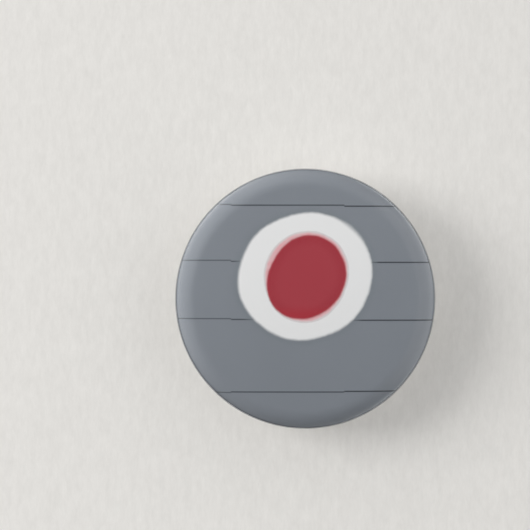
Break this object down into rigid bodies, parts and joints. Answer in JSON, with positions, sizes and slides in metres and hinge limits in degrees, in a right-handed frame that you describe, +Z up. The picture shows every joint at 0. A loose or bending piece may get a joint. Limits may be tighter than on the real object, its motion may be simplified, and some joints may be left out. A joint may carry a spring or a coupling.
{
  "type": "button badge",
  "caption": "Round crimped tinplate pin-back badge with a film-covered printed face and a sprung wire pin held under a wire catch.",
  "frame": {"origin": "centre of the plane on which the back plate's rolled rim rests against the cloth", "axes": "+Y out of the back, towards the wearer's cloth; the printed face looks along -Y; +Z up as worn; the needle points along +X"},
  "size_m": [0.032, 0.0052, 0.032],
  "materials": {
    "clear_film": "clear gloss",
    "printed_paper": "printed paper",
    "shell_tinplate": "tinplate",
    "back_tinplate": "brushed tinplate",
    "pin_wire": "bright nickel plate"
  },
  "bodies": {
    "badge": {"clear_film": "clear_film", "printed_disc": "printed_paper", "front_shell": "shell_tinplate", "back_plate": "back_tinplate", "catch_hook": "pin_wire", "base_arm": "pin_wire", "spring_coil": "pin_wire"},
    "needle": {"needle": "pin_wire"}
  },
  "joints": [
    {"name": "needle_open", "type": "hinge", "parent": "badge", "child": "needle", "pos_m": [-0.0094, -0.00175, -0.00055], "axis": [0.8633, 0.4984, -0.0797], "range_deg": [0, 110], "stiffness_Nm_per_rad": 0.0005}
  ]
}
